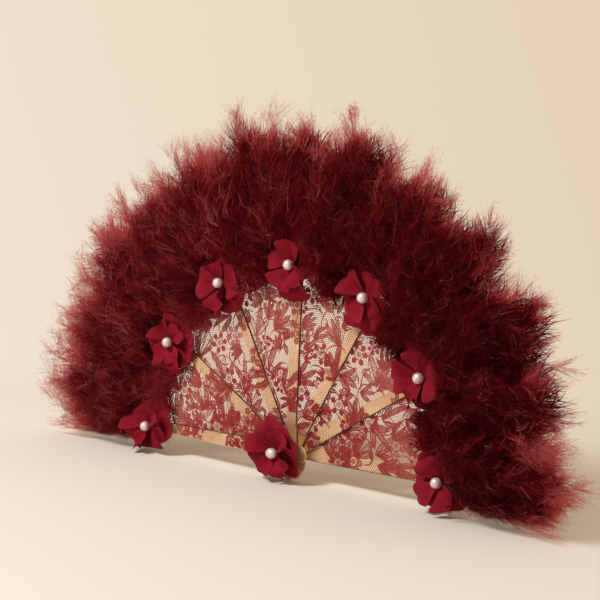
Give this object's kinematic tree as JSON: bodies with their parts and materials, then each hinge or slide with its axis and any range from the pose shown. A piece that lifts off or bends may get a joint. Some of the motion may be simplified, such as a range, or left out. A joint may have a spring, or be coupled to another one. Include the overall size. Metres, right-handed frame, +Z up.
{
  "type": "feather fan",
  "caption": "Folding hand fan that opens to a half circle: wooden sticks on a rivet, lace leaf, down feather border and fabric flowers with pearls.",
  "frame": {"origin": "on the table, below the rivet, at the middle of the open fan's footprint", "axes": "+Z up the middle stick from the rivet, +X from the left guard to the right guard as the front is seen, -Y out of the front, where the flowers are"},
  "size_m": [0.504, 0.0514, 0.274],
  "materials": {
    "bamboo": "satin",
    "lace": "matte",
    "down": "matte",
    "petal": "matte",
    "thread": "matte",
    "pearl": "gloss",
    "brass": "satin"
  },
  "bodies": {
    "blade_1": {"left_guard": "bamboo", "lace_panel_1": "lace", "quill_binding_1": "thread", "feather_tuft_1": "down", "outer_petals_1": "petal", "inner_petals_1": "petal", "pearl_1": "pearl", "rivet": "brass", "rivet_cap": "brass", "front_washer": "brass", "back_washer": "brass", "outer_petals_pivot": "petal", "inner_petals_pivot": "petal", "pearl_pivot": "pearl"},
    "blade_2": {"stick_2": "bamboo", "lace_panel_2": "lace", "quill_binding_2": "thread", "feather_tuft_2": "down", "outer_petals_2": "petal", "inner_petals_2": "petal", "pearl_2": "pearl"},
    "blade_3": {"stick_3": "bamboo", "lace_panel_3": "lace", "quill_binding_3": "thread", "feather_tuft_3": "down", "outer_petals_3": "petal", "inner_petals_3": "petal", "pearl_3": "pearl"},
    "blade_4": {"stick_4": "bamboo", "lace_panel_4": "lace", "quill_binding_4": "thread", "feather_tuft_4": "down", "outer_petals_4": "petal", "inner_petals_4": "petal", "pearl_4": "pearl"},
    "blade_5": {"stick_5": "bamboo", "lace_panel_5": "lace", "quill_binding_5": "thread", "feather_tuft_5": "down", "outer_petals_5": "petal", "inner_petals_5": "petal", "pearl_5": "pearl"},
    "blade_6": {"stick_6": "bamboo", "lace_panel_6": "lace", "quill_binding_6": "thread", "feather_tuft_6": "down", "outer_petals_6": "petal", "inner_petals_6": "petal", "pearl_6": "pearl"},
    "blade_7": {"right_guard": "bamboo", "lace_panel_7": "lace", "quill_binding_7": "thread", "feather_tuft_7": "down", "outer_petals_7": "petal", "inner_petals_7": "petal", "pearl_7": "pearl"}
  },
  "joints": [
    {"name": "fold_1", "type": "hinge", "parent": "blade_1", "child": "blade_2", "pos_m": [0, 0.01372, 0.022], "axis": [0, -1, 0], "range_deg": [0, 26], "deforming": ["feather_tuft_1", "outer_petals_1", "inner_petals_1", "lace_panel_2", "feather_tuft_2", "outer_petals_2", "inner_petals_2"]},
    {"name": "fold_2", "type": "hinge", "parent": "blade_2", "child": "blade_3", "pos_m": [0, 0.01372, 0.022], "axis": [0, -1, 0], "range_deg": [0, 26], "deforming": ["lace_panel_3", "feather_tuft_3", "outer_petals_3", "inner_petals_3"]},
    {"name": "fold_3", "type": "hinge", "parent": "blade_3", "child": "blade_4", "pos_m": [0, 0.01372, 0.022], "axis": [0, -1, 0], "range_deg": [0, 26], "deforming": ["lace_panel_4", "feather_tuft_4", "outer_petals_4", "inner_petals_4"]},
    {"name": "fold_4", "type": "hinge", "parent": "blade_4", "child": "blade_5", "pos_m": [0, 0.01372, 0.022], "axis": [0, -1, 0], "range_deg": [0, 26], "deforming": ["lace_panel_5", "feather_tuft_5", "outer_petals_5", "inner_petals_5"]},
    {"name": "fold_5", "type": "hinge", "parent": "blade_5", "child": "blade_6", "pos_m": [0, 0.01372, 0.022], "axis": [0, -1, 0], "range_deg": [0, 26], "deforming": ["lace_panel_6", "feather_tuft_6", "outer_petals_6", "inner_petals_6"]},
    {"name": "fold_6", "type": "hinge", "parent": "blade_6", "child": "blade_7", "pos_m": [0, 0.01372, 0.022], "axis": [0, -1, 0], "range_deg": [0, 26], "deforming": ["lace_panel_7", "feather_tuft_7", "outer_petals_7", "inner_petals_7"]}
  ],
  "couplings": [
    {"joint": "fold_2", "follows": "fold_1", "ratio": 1},
    {"joint": "fold_3", "follows": "fold_1", "ratio": 1},
    {"joint": "fold_4", "follows": "fold_1", "ratio": 1},
    {"joint": "fold_5", "follows": "fold_1", "ratio": 1},
    {"joint": "fold_6", "follows": "fold_1", "ratio": 1}
  ]
}
